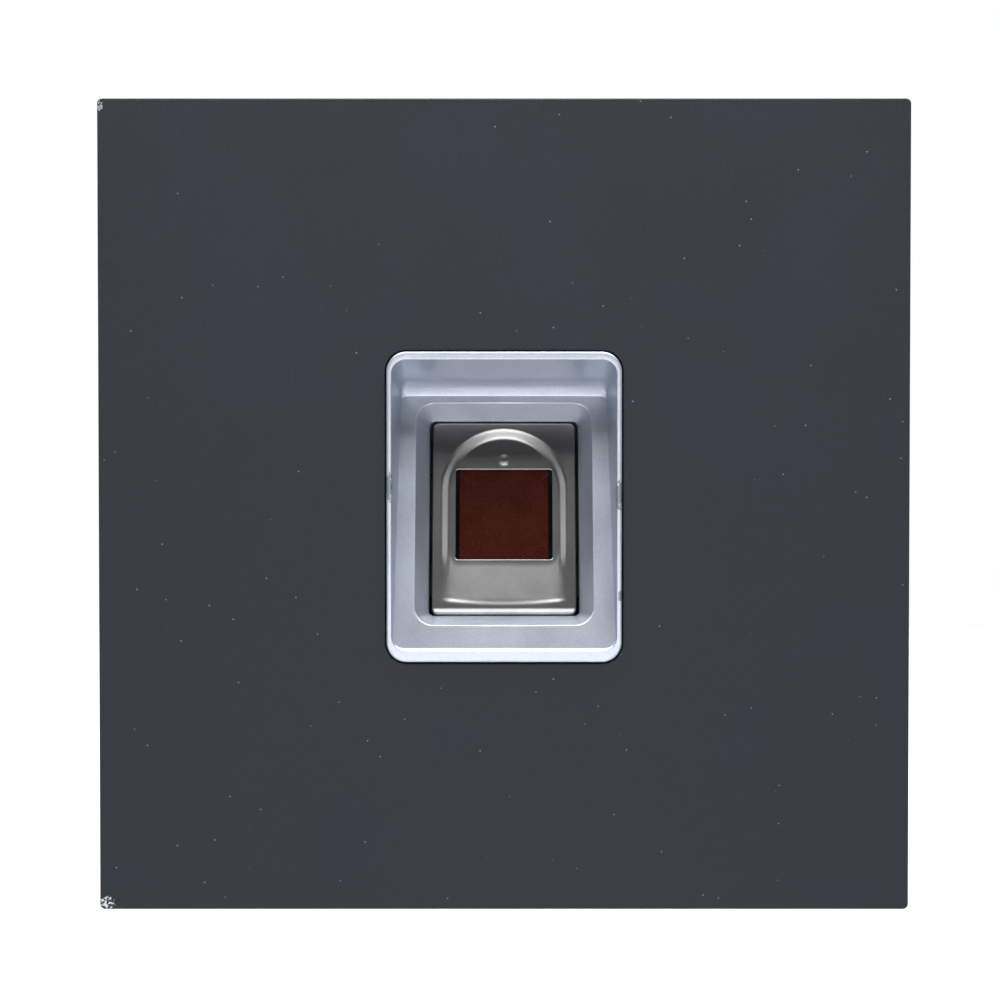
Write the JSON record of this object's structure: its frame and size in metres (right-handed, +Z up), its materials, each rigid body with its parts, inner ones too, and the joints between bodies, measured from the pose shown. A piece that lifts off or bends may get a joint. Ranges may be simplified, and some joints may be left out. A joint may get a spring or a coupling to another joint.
{
  "type": "fingerprint scanner terminal",
  "caption": "Flush-mounting fingerprint reader module with a square dark grey panel, a sloping silver finger recess and a stainless guide around an optical platen.",
  "frame": {"origin": "centre of the rear housing's mounting face", "axes": "front faces -Y, +Y leaves the rear mounting face, +Z up, +X to the right when seen from the front"},
  "size_m": [0.112, 0.0365, 0.112],
  "materials": {
    "panel_paint": "matt dark grey powder coat on aluminium",
    "silver_plastic": "fine metallic silver paint on moulded plastic",
    "black_rubber": "matt",
    "plated_steel": "bright zinc plated",
    "satin_stainless": "satin, stamped",
    "platen_red": "polished, dark red-brown",
    "black_film": "smooth",
    "prism_glass": "polished",
    "black_plastic": "light-absorbing matt",
    "lens_glass": "polished",
    "chip_black": "moulded epoxy",
    "board_green": "solder mask",
    "led_red": "clear red epoxy",
    "cable_film": "flat flexible cable film",
    "ivory_plastic": "moulded nylon",
    "can_steel": "plain can",
    "ferrite": "sintered ferrite",
    "can_aluminium": "satin can",
    "contact_brass": "machined",
    "white_plastic": "moulded acetal",
    "spring_steel": "drawn wire",
    "housing_plastic": "fine-textured moulding"
  },
  "bodies": {
    "module": {"front_panel": "panel_paint", "finger_bezel": "silver_plastic", "bezel_gasket": "black_rubber", "bezel_screws": "plated_steel", "guide_plate": "satin_stainless", "platen_glass": "platen_red", "platen_mask": "black_film", "platen_seal": "black_rubber", "prism": "prism_glass", "sensor_housing": "black_plastic", "sensor_screws": "plated_steel", "lens_barrel": "black_plastic", "lens": "lens_glass", "image_sensor": "chip_black", "sensor_board": "board_green", "led_board": "board_green", "platen_leds": "led_red", "sensor_cable": "cable_film", "cable_connector": "ivory_plastic", "main_board": "board_green", "board_screws": "plated_steel", "processor": "chip_black", "flash_memory": "chip_black", "bus_transceiver": "chip_black", "clock_crystal": "can_steel", "power_inductor": "ferrite", "filter_capacitors": "can_aluminium", "bus_in_socket": "ivory_plastic", "bus_out_socket": "ivory_plastic", "socket_pins": "contact_brass", "tamper_switch": "black_plastic", "tamper_spring": "spring_steel", "housing_seal": "black_rubber", "rear_housing": "housing_plastic", "housing_screws": "plated_steel", "frame_inserts": "contact_brass"},
    "plunger": {"tamper_plunger": "white_plastic"}
  },
  "joints": [
    {"name": "tamper_plunger_slide", "type": "slide", "parent": "module", "child": "plunger", "axis": [0, -1, 0], "range_m": [0, 0.0022], "stiffness_N_per_m": 300, "springref_m": -0.001, "deforming": ["tamper_spring"]}
  ]
}
